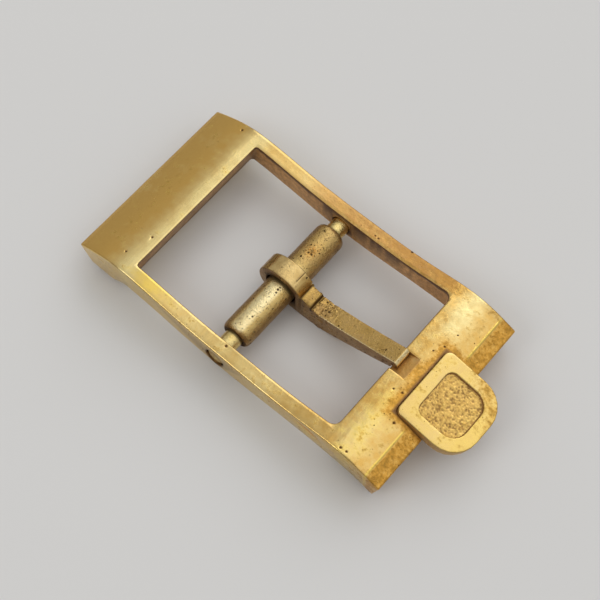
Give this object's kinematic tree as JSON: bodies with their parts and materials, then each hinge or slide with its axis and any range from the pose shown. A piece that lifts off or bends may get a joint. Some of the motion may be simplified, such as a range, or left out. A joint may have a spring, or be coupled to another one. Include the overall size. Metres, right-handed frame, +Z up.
{
  "type": "watch buckle",
  "caption": "Pin buckle for a narrow watch strap: waved cast frame, tongue looped round a telescoping spring bar, and a plain applied plaque over the front bar.",
  "frame": {"origin": "under the middle of the bounding box, on the surface the buckle lies on", "axes": "+X from the rear bar to the front bar and its plaque, +Y along the spring bar to the right rail, +Z up"},
  "size_m": [0.0244, 0.012, 0.0034],
  "materials": {
    "gold_plate": "polished gold plate over brass, worn and tarnished in the corners",
    "plaque_gold": "satin gold plate, stippled field",
    "pale_brass": "pale worn brass, pitted near the loop",
    "tube_brass": "drawn brass tube, dull with age",
    "pin_brass": "turned brass",
    "spring_steel": "drawn spring wire"
  },
  "bodies": {
    "frame": {"frame": "gold_plate", "front_plaque": "plaque_gold"},
    "spring_bar": {"bar_tube": "tube_brass", "bar_spring": "spring_steel"},
    "left_pin": {"bar_pin_left": "pin_brass"},
    "right_pin": {"bar_pin_right": "pin_brass"},
    "tongue": {"tongue": "pale_brass"}
  },
  "joints": [
    {"name": "bar_turn", "type": "hinge", "parent": "frame", "child": "spring_bar", "pos_m": [-0.00187, 0, 0.00145], "axis": [0, 1, 0], "continuous": true},
    {"name": "left_pin_press", "type": "slide", "parent": "spring_bar", "child": "left_pin", "axis": [0, 1, 0], "range_m": [0, 0.001], "stiffness_N_per_m": 300, "springref_m": -0.002, "deforming": ["bar_spring"]},
    {"name": "right_pin_press", "type": "slide", "parent": "spring_bar", "child": "right_pin", "axis": [0, -1, 0], "range_m": [0, 0.001], "stiffness_N_per_m": 300, "springref_m": -0.002, "deforming": ["bar_spring"]},
    {"name": "tongue_swing", "type": "hinge", "parent": "frame", "child": "tongue", "pos_m": [-0.00187, 0, 0.00145], "axis": [0, -1, 0], "range_deg": [0, 152]}
  ]
}
